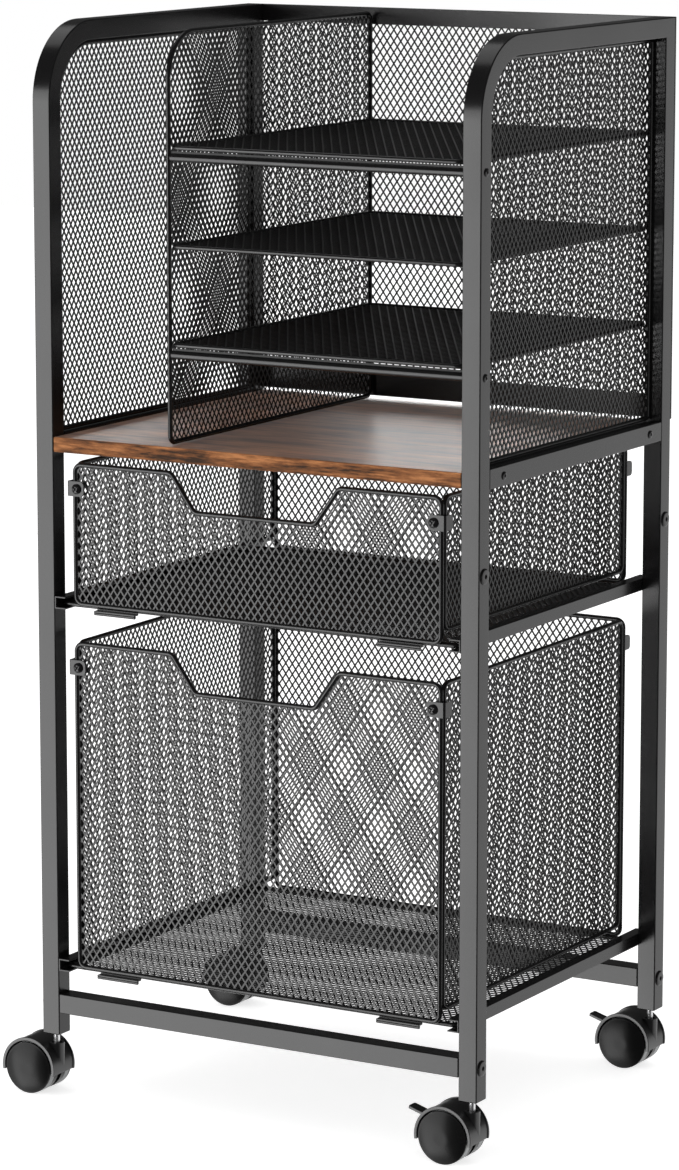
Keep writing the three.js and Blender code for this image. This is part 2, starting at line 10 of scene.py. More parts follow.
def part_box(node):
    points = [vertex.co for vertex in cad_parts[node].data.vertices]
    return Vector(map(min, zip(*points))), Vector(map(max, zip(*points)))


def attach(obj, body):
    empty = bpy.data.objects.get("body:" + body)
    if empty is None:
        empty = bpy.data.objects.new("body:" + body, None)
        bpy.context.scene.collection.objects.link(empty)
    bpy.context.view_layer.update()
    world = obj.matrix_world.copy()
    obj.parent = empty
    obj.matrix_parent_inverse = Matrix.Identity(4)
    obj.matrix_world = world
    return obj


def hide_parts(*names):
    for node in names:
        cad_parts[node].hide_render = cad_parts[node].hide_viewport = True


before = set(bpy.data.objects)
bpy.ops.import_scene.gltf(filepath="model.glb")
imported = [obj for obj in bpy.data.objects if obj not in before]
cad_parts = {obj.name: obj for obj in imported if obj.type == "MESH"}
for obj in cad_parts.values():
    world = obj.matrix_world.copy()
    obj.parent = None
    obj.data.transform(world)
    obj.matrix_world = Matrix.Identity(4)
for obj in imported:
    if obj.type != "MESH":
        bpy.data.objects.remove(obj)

bl_info = {
    "name": "Mobile file cart",
    "version": (1, 0, 0),
    "blender": (4, 5, 0),
    "location": "View3D > Sidebar > File Cart",
    "description": "Builds the finished pieces of a mobile file cart around its frame",
    "category": "Object",
}

MM = 0.001
# Tolerances: lengths in metres, and the share of a direction that counts as along an axis.
NEAR = 0.0001
CLOSE = 0.00005
DOUBLES = 0.00001
FACING = 0.9
SHARP = math.radians(40)
FINE_EDGE = 0.0003
CASTERS = ("front_left", "front_right", "rear_left", "rear_right")
BRAKED = ("front_right", "rear_right")
DRAWERS = ("middle", "lower")
SHELVES = ("upper", "middle", "lower")
SIDES = ("left", "right")
BOARD_PIECES = ("board_with_edge_band",)
TRAY_PIECES = tuple(f"{level}_tray" for level in SHELVES)
SEEN = ("Is Camera Ray", "Is Glossy Ray", "Is Transmission Ray")


def length(name, description, millimetres):
    """A length property with its default in millimetres."""
    return FloatProperty(
        name=name, description=description, default=millimetres * MM, unit="LENGTH"
    )


def colour(name, description, red, green, blue):
    """A colour property with its default in linear light."""
    return FloatVectorProperty(
        name=name,
        description=description,
        default=(red, green, blue),
        size=3,
        subtype="COLOR",
        min=0,
        max=1,
    )


class FrameSizes(PropertyGroup):
    """Sizes of the tubes, runners and board."""

    bend_radius: length("Bend radius", "Outer radius between a front post and its top rail", 62)
    tube_edge: length("Tube edge", "Rounding along the edges of the square tubes", 0.9)
    runner_wall: length("Runner wall", "Sheet of the drawer runners", 1.2)
    board_edge: length("Board edge", "Rounding along the edges of the board", 0.9)


class MeshSizes(PropertyGroup):
    """Sizes of the diamond mesh and of the wires round it."""

    pitch_wide: length("Diamond width", "Spacing of the diamonds across", 6.5)
    pitch_tall: length("Diamond height", "Spacing of the diamonds along their long way", 9.27)
    strand: length("Strand", "Width of a strand between two diamonds", 1.22)
    sheet: length("Sheet", "Thickness of the mesh in side panels and drawers", 0.75)
    thin_sheet: length("Thin sheet", "Mesh thickness in the divider and the back panel", 0.45)
    floor_sheet: length("Floor sheet", "Thickness of the mesh in the drawer floors", 0.85)
    tray_pitch_wide: length("Tray diamond width", "Spacing across the trays' diamonds", 8)
    tray_pitch_tall: length("Tray diamond height", "Spacing along the trays' diamonds", 13.4)
    tray_sheet: length("Tray sheet", "Thickness of the mesh in the trays", 1.2)
    wire: length("Wire", "Diameter of the edge wires", 4)
    panel_corner: length("Panel corner", "Outer radius of a wire at a panel's corner", 8)
    divider_round: length("Divider round", "Outer radius at the top front of the divider", 38)
    back_border: length("Back border", "Flat border round the back panel", 14)
    back_foot: length("Back foot", "Flat border along the foot of the back panel", 19)


class DrawerSizes(PropertyGroup):
    """Sizes of the drawer fronts and their fittings."""

    dip_wide: length("Dip at the rim", "Width of the hand dip at the rim", 150)
    dip_narrow: length("Dip at the bottom", "Width of the hand dip at its bottom", 107)
    dip_depth: length("Dip depth", "Depth of the hand dip", 30)
    dip_corner: length("Dip corner", "Radius of the wire in the hand dip", 6)
    clip_sheet: length("Clip sheet", "Sheet of the corner clips", 1.5)
    clip_round: length("Clip round", "Rounding at the free end of a clip", 3.4)
    clip_fold: length("Clip fold", "Outer radius of a clip's fold round the corner", 3.9)
    stop_tab: length("Stop tab", "Sheet of the rear stop tabs", 2)
    hook_width: length("Hook tab width", "Width of a hook tab under the front", 38)
    hook_inset: length("Hook tab inset", "From the front's end to the middle of a hook tab", 38.5)


class CasterSizes(PropertyGroup):
    """Sizes of the twin-wheel casters."""

    hood_wall: length("Hood wall", "Wall of the hood", 2.5)
    hood_bead: length("Hood bead", "How far the bead on the hood's rims stands out", 0.7)
    bead_width: length("Bead width", "Width of the bead on the hood's rims", 2)
    web: length("Web", "Wall between the two wheels", 4)
    web_gap: length("Web gap", "Gap between the web and a wheel", 0.7)
    tread_width: length("Tread width", "Width of the pale tread", 6)
    tread_inset: length("Tread inset", "From the disc's face to the tread", 1.6)
    boss_radius: length("Boss radius", "Radius of the boss round the stem", 6.3)
    boss_drop: length("Boss drop", "From the hood's top down to the boss's top", 4.4)


class CartColours(PropertyGroup):
    """Colours of the finishes."""

    coat: colour("Powder coat", "Satin black coat of the metal", 0.007, 0.0068, 0.007)
    grain_dark: colour("Dark grain", "Darkest streaks of the board", 0.10, 0.04, 0.017)
    grain_mid: colour("Mid grain", "Ground colour of the board", 0.32, 0.13, 0.056)
    grain_light: colour("Light grain", "Lightest streaks of the board", 0.54, 0.24, 0.108)
    edge_light: colour("Edge band", "Lightest streaks of the edge band", 0.60, 0.25, 0.095)
    edge_mid: colour("Edge ground", "Orange-brown ground of the edge band", 0.28, 0.107, 0.04)
    edge_dark: colour("Edge streaks", "Grey-brown streaks of the edge band", 0.055, 0.03, 0.018)
    plastic: colour("Caster plastic", "Black plastic of the hoods", 0.010, 0.0098, 0.010)
    disc: colour("Wheel disc", "Black plastic of the wheels", 0.006, 0.006, 0.006)
    tread: colour("Tread", "Pale grey tread of the wheels", 0.56, 0.57, 0.57)
    steel: colour("Bright steel", "Plated steel of stems and axles", 0.94, 0.94, 0.95)


def deselect():
    """Leaves edit mode and selects nothing."""
    if bpy.context.mode != "OBJECT":
        bpy.ops.object.mode_set(mode="OBJECT")
    bpy.ops.object.select_all(action="DESELECT")


def activate(*objects):
    """Selects these objects, the first of them active."""
    deselect()
    for obj in objects:
        obj.select_set(True)
    bpy.context.view_layer.objects.active = objects[0]


def settle(obj):
    """Puts an object's place, turn and scale into its mesh."""
    activate(obj)
    bpy.ops.object.transform_apply(location=True, rotation=True, scale=True)
    return obj


def added(name):
    """Names the primitive that was just added."""
    obj = bpy.context.object
    obj.name = name
    obj.data.name = name
    return obj


def edit(obj):
    """Enters edit mode with everything selected."""
    activate(obj)
    bpy.ops.object.mode_set(mode="EDIT")
    bpy.ops.mesh.select_mode(type="FACE")
    bpy.ops.mesh.select_all(action="SELECT")


def done():
    """Leaves edit mode."""
    bpy.ops.object.mode_set(mode="OBJECT")


def select(kind, test):
    """In edit mode, selects the elements of a kind whose middle and direction pass the test."""
    bpy.ops.mesh.select_mode(type=kind)
    bpy.ops.mesh.select_all(action="DESELECT")
    mesh = bmesh.from_edit_mesh(bpy.context.edit_object.data)
    if kind == "VERT":
        hits = [vert for vert in mesh.verts if test(vert.co)]
    elif kind == "EDGE":
        ends = [(edge, edge.verts[0].co, edge.verts[1].co) for edge in mesh.edges]
        hits = [edge for edge, one, two in ends if test((one + two) / 2, (two - one).normalized())]
    else:
        hits = [face for face in mesh.faces if test(face.calc_center_median(), face.normal)]
    for hit in hits:
        hit.select_set(True)
    bmesh.update_edit_mesh(bpy.context.edit_object.data)
    if not hits:
        raise RuntimeError(f"nothing to select on {bpy.context.edit_object.name}")


def cut(point, outward, **settings):
    """In edit mode, cuts everything along a plane."""
    bpy.ops.mesh.select_all(action="SELECT")
    bpy.ops.mesh.bisect(plane_co=point, plane_no=outward, **settings)


def face_outwards(obj):
    """Merges doubles and turns every face outwards."""
    edit(obj)
    bpy.ops.mesh.remove_doubles(threshold=DOUBLES)
    bpy.ops.mesh.select_all(action="SELECT")
    bpy.ops.mesh.normals_make_consistent(inside=False)
    done()
    return obj


def modify(obj, kind, **settings):
    """Adds one modifier and applies it."""
    activate(obj)
    modifier = obj.modifiers.new(kind.title(), kind)
    for key, value in settings.items():
        setattr(modifier, key, value)
    bpy.ops.object.modifier_apply(modifier=modifier.name)
    return obj


def round_edges(obj, width, segments=3):
    """Rounds the sharp edges."""
    sharp = {"limit_method": "ANGLE", "angle_limit": SHARP}
    return modify(obj, "BEVEL", width=width, segments=segments, **sharp)


def ease(obj, width=FINE_EDGE):
    """Takes the sharpness off thin metal and plastic."""
    return round_edges(obj, width, 2)


def round_along(obj, test, radius, segments=4):
    """Rounds the edges that pass the test."""
    edit(obj)
    select("EDGE", test)
    bpy.ops.mesh.bevel(offset=radius, segments=segments, affect="EDGES")
    done()
    return obj


def block(name, low, high):
    """A block between two corners."""
    low, high = Vector(low), Vector(high)
    deselect()
    bpy.ops.mesh.primitive_cube_add(size=1, location=(low + high) / 2)
    obj = added(name)
    obj.scale = high - low
    return settle(obj)


def drum(name, centre, axis, radius, low, high, segments=48):
    """A drum round a line through the centre along X, Y or Z, between two places on that axis."""
    place = Vector(centre)
    place["XYZ".index(axis)] = (low + high) / 2
    turn = {"X": (0, math.pi / 2, 0), "Y": (math.pi / 2, 0, 0), "Z": (0, 0, 0)}[axis]
    deselect()
    bpy.ops.mesh.primitive_cylinder_add(
        vertices=segments, radius=radius, depth=high - low, location=place, rotation=turn
    )
    return settle(added(name))


def combine(name, first, *others):
    """Joins objects into the first one."""
    activate(first, *others)
    bpy.ops.object.join()
    return added(name)


def merge(obj, other, operation="UNION"):
    """Joins or cuts a solid with another one, which is used up."""
    modify(obj, "BOOLEAN", object=other, operation=operation, solver="EXACT")
    bpy.data.objects.remove(other, do_unlink=True)
    return obj


def copy_of(obj, name, shift=(0, 0, 0), turn=0.0, mirror=False):
    """A copy with its own mesh, mirrored in X if asked, turned round Z and moved."""
    activate(obj)
    bpy.ops.object.duplicate(linked=False)
    twin = added(name)
    twin.scale.x = -1 if mirror else 1
    twin.rotation_euler.z = turn
    twin.location = shift
    settle(twin)
    return face_outwards(twin) if mirror else twin


def dress(obj, finish, angle=35, even=True):
    """Gives a piece its finish and smooth shading up to an angle; even keeps its flats flat."""
    obj.data.materials.clear()
    obj.data.materials.append(Finishes.get(finish))
    activate(obj)
    bpy.ops.object.shade_smooth_by_angle(angle=math.radians(angle))
    if even:
        modify(obj, "WEIGHTED_NORMAL", keep_sharp=True)
    return obj


def settle_piece(obj, body, slot, *nodes):
    """Gives a dressed piece its place in the part."""
    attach(obj, body)
    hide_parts(*nodes)
    return obj


class Signal:
    """A shader socket that takes Python's arithmetic."""

    def __init__(self, finish, socket):
        self.finish = finish
        self.socket = socket

    def __add__(self, other):
        return self.finish.maths("ADD", self, other)

    __radd__ = __add__

    def __sub__(self, other):
        return self.finish.maths("SUBTRACT", self, other)

    def __rsub__(self, other):
        return self.finish.maths("SUBTRACT", other, self)

    def __mul__(self, other):
        return self.finish.maths("MULTIPLY", self, other)

    __rmul__ = __mul__


class Finish:
    """The node tree of a material or of the world."""

    def __init__(self, owner):
        owner.use_nodes = True
        self.owner = owner
        self.tree = owner.node_tree

    def plug(self, socket, value):
        if isinstance(value, Signal):
            self.tree.links.new(value.socket, socket)
        else:
            socket.default_value = value

    def node(self, kind, settings=None, inputs=None):
        """Adds a node, or takes the tree's own one of that type if the kind is its name."""
        made = self.tree.nodes.get(kind) or self.tree.nodes.new(kind)
        for key, value in (settings or {}).items():
            if key == "stops":
                ramp = made.color_ramp
                while len(ramp.elements) < len(value):
                    ramp.elements.new(0.5)
                for element, (place, shade) in zip(ramp.elements, value):
                    element.position = place
                    element.color = (*shade, 1)
            else:
                setattr(made, key, value)
        for key, value in (inputs or {}).items():
            self.plug(made.inputs[key], value)
        return made

    def signal(self, kind, output, settings=None, inputs=None):
        """Adds a node and gives one of its outputs."""
        return Signal(self, self.node(kind, settings, inputs).outputs[output])

    def maths(self, operation, *values):
        """The result of a Math node."""
        return self.signal("ShaderNodeMath", 0, {"operation": operation}, dict(enumerate(values)))

    def light_paths(self):
        """1 for rays in sight, in gloss and through glass, in that order."""
        path = self.node("ShaderNodeLightPath")
        return [Signal(self, path.outputs[name]) for name in SEEN]

    def noise(self, place, scale, detail=2.0, roughness=0.5):
        """A noise between 0 and 1 on the piece's own coordinates."""
        inputs = {"Vector": place, "Scale": scale, "Detail": detail, "Roughness": roughness}
        return self.signal("ShaderNodeTexNoise", "Fac", None, inputs)

    def blend(self, factor, first, second):
        """A colour between two colours."""
        settings = {"data_type": "RGBA"}
        return self.signal("ShaderNodeMix", 2, settings, {0: factor, 6: first, 7: second})

    def ramp(self, factor, stops):
        """A colour along a ramp of stops."""
        return self.signal("ShaderNodeValToRGB", "Color", {"stops": stops}, {"Fac": factor})

    def bump(self, height, strength, distance):
        """A normal from a height."""
        inputs = {"Height": height, "Strength": strength, "Distance": distance}
        return self.signal("ShaderNodeBump", "Normal", None, inputs)

    def surface(self, **inputs):
        """Sets the shader's own sockets; an underscore stands for a blank."""
        sockets = {key.replace("_", " "): value for key, value in inputs.items()}
        self.node("Principled BSDF", None, sockets)
        return self.owner


def new_finish(name):
    """A new material's node tree."""
    return Finish(bpy.data.materials.new(name))


def shade(colour, factor=1.0):
    """A property's colour, lighter or darker, with its alpha."""
    return (*[min(channel * factor, 1) for channel in colour], 1)


def coat_finish(name, colour, roughness=0.2, grain=0.06, gloss=0.5):
    """Satin powder coat: a fine skin and slow changes of tone and gloss."""
    finish = new_finish(name)
    place = finish.signal("ShaderNodeTexCoord", "Object")
    skin = finish.noise(place, 900, 3)
    cloud = finish.noise(place, 14, 3)
    return finish.surface(
        Base_Color=finish.blend(cloud, shade(colour, 0.9), shade(colour, 1.1)),
        Roughness=roughness - 0.05 + cloud * 0.1 + skin * 0.04,
        Specular_IOR_Level=gloss,
        Normal=finish.bump(skin, grain, 0.0003),
    )


def wood_finish(colours):
    """Wood-grain board: streaks along X, an orange-brown edge band, a satin top."""
    finish = new_finish("board_wood_grain")
    place = finish.signal("ShaderNodeTexCoord", "Object")

    def streaks(along, across, up, detail, roughness):
        scale = {"Vector": place, "Scale": (along, across, up)}
        return finish.noise(finish.signal("ShaderNodeMapping", 0, None, scale), 1, detail, roughness)

    fibres = streaks(14, 480, 480, 3, 0.5)
    lines, clouds = streaks(13, 90, 90, 6, 0.62), streaks(12, 26, 26, 4, 0.55)
    grain = lines * 0.45 + clouds * 0.35 + fibres * 0.2
    top_stops = (
        (0.41, colours.grain_dark),
        (0.50, colours.grain_mid),
        (0.60, colours.grain_light),
    )
    top = finish.ramp(grain, top_stops)
    lines, clouds = streaks(22, 40, 210, 6, 0.7), streaks(34, 40, 110, 4, 0.6)
    edge_grain = lines * 0.6 + clouds * 0.25 + fibres * 0.15
    edge_stops = (
        (0.42, colours.edge_dark),
        (0.50, colours.edge_mid),
        (0.60, colours.edge_light),
    )
    edge = finish.ramp(edge_grain, edge_stops)
    normal = finish.signal("ShaderNodeNewGeometry", "Normal")
    upward = finish.signal("ShaderNodeSeparateXYZ", "Z", None, {0: normal})
    band = finish.maths("LESS_THAN", finish.maths("ABSOLUTE", upward), 0.6)
    return finish.surface(
        Base_Color=finish.blend(band, top, edge),
        Roughness=0.28 + fibres * 0.1 + band * 0.3,
        Specular_IOR_Level=0.15,
        Coat_Weight=0.5 - band * 0.5,
        Coat_Roughness=0.42,
        Normal=finish.bump(fibres, 0.03, 0.0003),
    )


def plastic_finish(name, colour, roughness, fine=1200, gloss=0.5):
    """Moulded plastic with a fine skin."""
    finish = new_finish(name)
    place = finish.signal("ShaderNodeTexCoord", "Object")
    skin = finish.noise(place, fine, 2)
    flow = finish.noise(place, 60, 2)
    return finish.surface(
        Base_Color=finish.blend(flow, shade(colour, 0.92), shade(colour, 1.08)),
        Roughness=roughness + flow * 0.08,
        Specular_IOR_Level=gloss,
        Normal=finish.bump(skin, 0.06, 0.0002),
    )


def steel_finish(name, colour, roughness):
    """Plated steel, brushed round its turning."""
    finish = new_finish(name)
    place = finish.signal("ShaderNodeTexCoord", "Object")
    brushed = finish.signal("ShaderNodeMapping", 0, None, {"Vector": place, "Scale": (40, 40, 900)})
    lines = finish.noise(brushed, 1, 2)
    return finish.surface(
        Base_Color=finish.blend(lines, shade(colour, 0.94), shade(colour)),
        Metallic=1.0,
        Roughness=roughness + lines * 0.06,
    )


class Finishes:
    """The cart's finishes, each made once."""

    made = {}

    @classmethod
    def get(cls, name):
        if name not in cls.made:
            colours = bpy.context.scene.cart_colours
            cls.made[name] = {
                "coat": lambda: coat_finish("satin_powder_coat", colours.coat),
                "mesh": lambda: coat_finish("satin_mesh_coat", colours.coat, 0.32, 0.04, 0.3),
                "front": lambda: coat_finish("satin_front_coat", colours.coat, 0.3, 0.04, 0.55),
                "tray": lambda: coat_finish("satin_tray_coat", colours.coat, 0.5, 0.04, 0.65),
                "bolt": lambda: coat_finish("black_bolt", colours.coat, 0.16, 0.02),
                "wood": lambda: wood_finish(colours),
                "hood": lambda: plastic_finish("hood_plastic", colours.plastic, 0.28, 1200, 0.75),
                "disc": lambda: plastic_finish("wheel_disc_plastic", colours.disc, 0.22, 1200, 0.19),
                "tread": lambda: plastic_finish("wheel_tread", colours.tread, 0.55, 700),
                "steel": lambda: steel_finish("bright_plated_steel", colours.steel, 0.36),
            }[name]()
        return cls.made[name]


PLANES = {
    "YZ": Matrix(((0, 0, 1), (1, 0, 0), (0, 1, 0))),
    "XZ": Matrix(((1, 0, 0), (0, 0, -1), (0, 1, 0))),
    "XY": Matrix.Identity(3),
}


def lay(obj, plane, level):
    """Turns a piece drawn flat into its plane, at that level on the plane's axis."""
    place = Vector((0, 0, 0))
    place["XYZ".index(({"X", "Y", "Z"} - set(plane)).pop())] = level
    obj.matrix_world = Matrix.Translation(place) @ PLANES[plane].to_4x4()
    return settle(obj)


def flat_face(name, low, high):
    """A flat rectangle between two corners."""
    low, high = Vector(low), Vector(high)
    middle = (low + high) / 2
    deselect()
    bpy.ops.mesh.primitive_plane_add(size=1, location=(middle.x, middle.y, 0))
    obj = added(name)
    obj.scale = (high.x - low.x, high.y - low.y, 1)
    return settle(obj)


def round_corner(point, setback, segments):
    """In edit mode, rounds the flat face's corner at a point."""
    select("VERT", lambda co: (co.xy - Vector(point)).length < CLOSE)
    bpy.ops.mesh.bevel(offset=setback, offset_type="OFFSET", segments=segments, affect="VERTICES", profile=0.5)


def rectangle_corners(low, high, radii):
    """The four corners of a rectangle, round from its low corner, with their radii and outward signs."""
    (x0, y0), (x1, y1) = low, high
    points = ((x0, y0), (x1, y0), (x1, y1), (x0, y1))
    signs = ((-1, -1), (1, -1), (1, 1), (-1, 1))
    return list(zip(points, radii, signs))


def edge_wire(face, name, diameter):
    """The outline of a flat face as a round wire; the face is used up."""
    edit(face)
    bpy.ops.mesh.delete(type="ONLY_FACE")
    done()
    bpy.ops.object.convert(target="CURVE")
    wire = bpy.context.object
    wire.data.bevel_depth = diameter / 2
    wire.data.bevel_resolution = 2
    bpy.ops.object.convert(target="MESH")
    return dress(face_outwards(added(name)), "coat", 60, False)


def strand_sheet(name, low, high, cuts, dip=None, sheet=None, pitch=None, finish="mesh"):
    """A flat sheet of diamond mesh, trimmed by cuts of a point and an outward direction."""
    mesh = bpy.context.scene.cart_mesh
    low, high = Vector(low), Vector(high)
    middle, span = (low + high) / 2, high - low
    wide, tall = pitch or (mesh.pitch_wide, mesh.pitch_tall)
    count = math.ceil(span.x / wide + span.y / tall) + 2
    deselect()
    bpy.ops.mesh.primitive_grid_add(
        x_subdivisions=count, y_subdivisions=count, size=count, rotation=(0, 0, math.pi / 4)
    )
    obj = settle(added(name))
    obj.scale = (wide / math.sqrt(2), tall / math.sqrt(2), 1)
    obj.location = (middle.x, middle.y, 0)
    settle(obj)
    edit(obj)
    bpy.ops.mesh.inset(thickness=mesh.strand / 2, use_individual=True, use_even_offset=True)
    bpy.ops.mesh.delete(type="FACE")
    for point, outward in cuts:
        cut((*point, 0), (*outward, 0), clear_outer=True)
    if dip:
        for point, across in dip["lines"]:
            cut((*point, 0), (*across, 0))
        select("FACE", lambda middle, normal: dip["inside"](middle))
        bpy.ops.mesh.delete(type="FACE")
    done()
    modify(obj, "SOLIDIFY", thickness=sheet or mesh.sheet, offset=0)
    return dress(obj, finish, 30, False)


def trims(low, high, corners):
    """Cuts along the sides of a rectangle and across its rounded corners."""
    cuts = [(low, (-1, 0)), (low, (0, -1)), (high, (1, 0)), (high, (0, 1))]
    for (x, y), radius, (sx, sy) in corners:
        count = max(1, round(radius / 0.008))
        for step in range(count):
            angle = math.pi / 2 * (step + 0.5) / count
            outward = Vector((sx * math.cos(angle), sy * math.sin(angle)))
            centre = Vector((x - sx * radius, y - sy * radius))
            cuts.append((centre + outward * radius, outward))
    return cuts


def wired_panel(name, plane, level, low, high, radii, sheet=None, pitch=None, finish="mesh"):
    """A rectangle of diamond mesh with a round wire along its edge."""
    wire = bpy.context.scene.cart_mesh.wire
    half = Vector((wire, wire)) / 2
    low, high = Vector(low) + half, Vector(high) - half
    corners = rectangle_corners(low, high, [max(radius - wire / 2, 0.0005) for radius in radii])
    face = flat_face(f"{name}_outline", low, high)
    edit(face)
    for point, radius, _ in corners:
        round_corner(point, radius, 12 if radius > 0.02 else 6)
    done()
    rim = edge_wire(face, f"{name}_wire", wire)
    strands = strand_sheet(f"{name}_strands", low, high, trims(low, high, corners), None, sheet, pitch, finish)
    return lay(combine(name, strands, rim), plane, level)


def dipped_panel(name, plane, level, low, high, middle):
    """A drawer front: a rectangle of diamond mesh in a wire that dips for the hand."""
    drawer = bpy.context.scene.cart_drawer
    mesh = bpy.context.scene.cart_mesh
    half = Vector((mesh.wire, mesh.wire)) / 2
    low, high = Vector(low) + half, Vector(high) - half
    slope = Vector((drawer.dip_wide - drawer.dip_narrow, 2 * drawer.dip_depth)).normalized()
    lean = mesh.wire / 2 * (1 - slope.x) / slope.y
    wide, narrow = drawer.dip_wide / 2 + lean, drawer.dip_narrow / 2 + lean
    floor = high.y - drawer.dip_depth
    corners = rectangle_corners(low, high, [mesh.panel_corner - mesh.wire / 2] * 4)
    face = flat_face(f"{name}_outline", low, high)
    edit(face)
    for offset in (-wide, -narrow, narrow, wide):
        cut((middle + offset, 0, 0), (1, 0, 0))
    select("VERT", lambda co: abs(co.x - middle) < narrow + NEAR and abs(co.y - high.y) < NEAR)
    bpy.ops.transform.translate(value=(0, -drawer.dip_depth, 0))
    select("FACE", lambda co, normal: True)
    bpy.ops.mesh.dissolve_faces()
    for point, radius, _ in corners:
        round_corner(point, radius, 6)
    setback = drawer.dip_corner * math.tan(math.atan2(slope.y, slope.x) / 2)
    for side in (-1, 1):
        round_corner((middle + side * wide, high.y), setback, 5)
        round_corner((middle + side * narrow, floor), setback, 5)
    done()
    rim = edge_wire(face, f"{name}_wire", mesh.wire)
    lines = [((middle, floor), (0, 1))]
    for side in (-1, 1):
        lines.append(((middle + side * narrow, floor), (side * slope.y, -slope.x)))

    def inside(co):
        reach = narrow + (co.y - floor) * slope.x / slope.y
        return co.y > floor and abs(co.x - middle) < reach

    dip = {"lines": lines, "inside": inside}
    sheet = strand_sheet(f"{name}_strands", low, high, trims(low, high, corners), dip, finish="front")
    return lay(combine(name, sheet, rim), plane, level)


def bent_hoop(node):
    """Front post, bend and top rail, drawn out of one square section."""
    bend = bpy.context.scene.cart_frame.bend_radius
    low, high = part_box(node)
    tube = high.x - low.x
    middle = (low.x + high.x) / 2
    deselect()
    bpy.ops.mesh.primitive_plane_add(size=tube, location=(middle, low.y + tube / 2, low.z))
    obj = settle(added(f"{node}_tube"))
    edit(obj)
    rise = high.z - bend - low.z
    bpy.ops.mesh.extrude_region_move(TRANSFORM_OT_translate={"value": (0, 0, rise)})
    centre = (middle, low.y + bend, high.z - bend)
    bpy.ops.mesh.spin(steps=18, angle=math.pi / 2, center=centre, axis=(1, 0, 0))
    bpy.ops.mesh.extrude_region_move(TRANSFORM_OT_translate={"value": (0, high.y - low.y - bend, 0)})
    done()
    return face_outwards(obj)


class CART_OT_frame_tubes(Operator):
    """Builds the hoops, rear posts, side rails and cross bars"""

    bl_idname = "cart.frame_tubes"
    bl_label = "Frame tubes"

    def execute(self, context):
        edge = context.scene.cart_frame.tube_edge
        straight = ["front_cross_bar", "rear_cross_bar"]
        for side in SIDES:
            straight += [f"{side}_rear_post", f"{side}_side_rail"]
            hoop = dress(round_edges(bent_hoop(f"{side}_hoop"), edge), "coat")
            settle_piece(hoop, "cart", "powder_coat", f"{side}_hoop")
        for node in straight:
            low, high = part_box(node)
            if node.endswith("rear_post"):
                high.z += 2 * edge
            tube = dress(round_edges(block(f"{node}_tube", low, high), edge), "coat")
            settle_piece(tube, "cart", "powder_coat", node)
        return {"FINISHED"}


class CART_OT_runners(Operator):
    """Builds the channel runners of the drawers"""

    bl_idname = "cart.runners"
    bl_label = "Drawer runners"

    def execute(self, context):
        wall = context.scene.cart_frame.runner_wall
        for level in DRAWERS:
            for side in SIDES:
                node = f"{level}_runner_{side}"
                channel = block(f"{node}_channel", *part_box(node))
                open_way = 1 if side == "left" else -1
                edit(channel)
                select("FACE", lambda co, normal: normal.x * open_way > 0.5 or abs(normal.y) > 0.5)
                bpy.ops.mesh.delete(type="FACE")
                done()
                modify(channel, "SOLIDIFY", thickness=wall, offset=-1, use_even_offset=True)
                dress(ease(channel), "coat")
                settle_piece(channel, "cart", "powder_coat", node)
        return {"FINISHED"}


class CART_OT_board(Operator):
    """Builds the wooden board"""

    bl_idname = "cart.board"
    bl_label = "Board"

    def execute(self, context):
        board = block("board_with_edge_band", *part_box("board"))
        dress(round_edges(board, context.scene.cart_frame.board_edge), "wood")
        settle_piece(board, "cart", "board_wood", "board")
        return {"FINISHED"}


